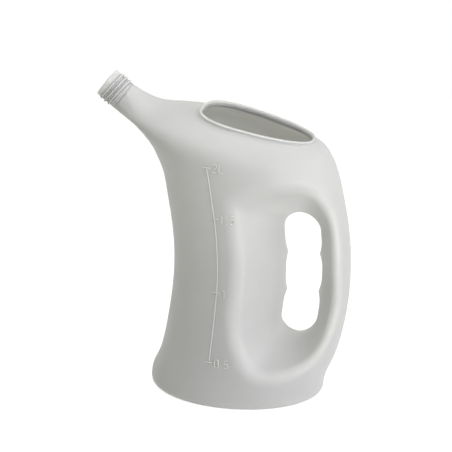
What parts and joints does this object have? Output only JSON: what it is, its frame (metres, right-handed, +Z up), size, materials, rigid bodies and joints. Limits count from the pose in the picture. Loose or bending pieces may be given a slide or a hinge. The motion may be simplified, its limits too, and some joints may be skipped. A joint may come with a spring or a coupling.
{
  "type": "measuring jug",
  "caption": "Two-litre pouring and measuring jug with a slanted oval filling mouth, hollow grip, raised volume scale and threaded spout.",
  "frame": {"origin": "middle of the bounding box in x, in the jug's plane of symmetry, at the surface the jug stands on", "axes": "+Z up, -X towards the spout, +X towards the grip, +Y across the width"},
  "size_m": [0.2166, 0.1132, 0.2738],
  "materials": {
    "polyethylene": "natural translucent polyethylene, satin"
  },
  "bodies": {
    "root": {"base": "polyethylene", "lower_body_left": "polyethylene", "lower_body_right": "polyethylene", "tank_wall_left": "polyethylene", "tank_wall_right": "polyethylene", "grip_left": "polyethylene", "grip_right": "polyethylene", "upper_body_left": "polyethylene", "upper_body_right": "polyethylene", "shoulder_left": "polyethylene", "shoulder_right": "polyethylene", "spout_left": "polyethylene", "spout_right": "polyethylene", "mouth_rim": "polyethylene", "spout_neck": "polyethylene", "volume_scale": "polyethylene", "numeral_0_5_zero": "polyethylene", "numeral_0_5_point": "polyethylene", "numeral_0_5_five": "polyethylene", "numeral_1_one": "polyethylene", "numeral_1_5_one": "polyethylene", "numeral_1_5_point": "polyethylene", "numeral_1_5_five": "polyethylene", "numeral_2_two": "polyethylene", "numeral_2_litre": "polyethylene"}
  },
  "joints": []
}
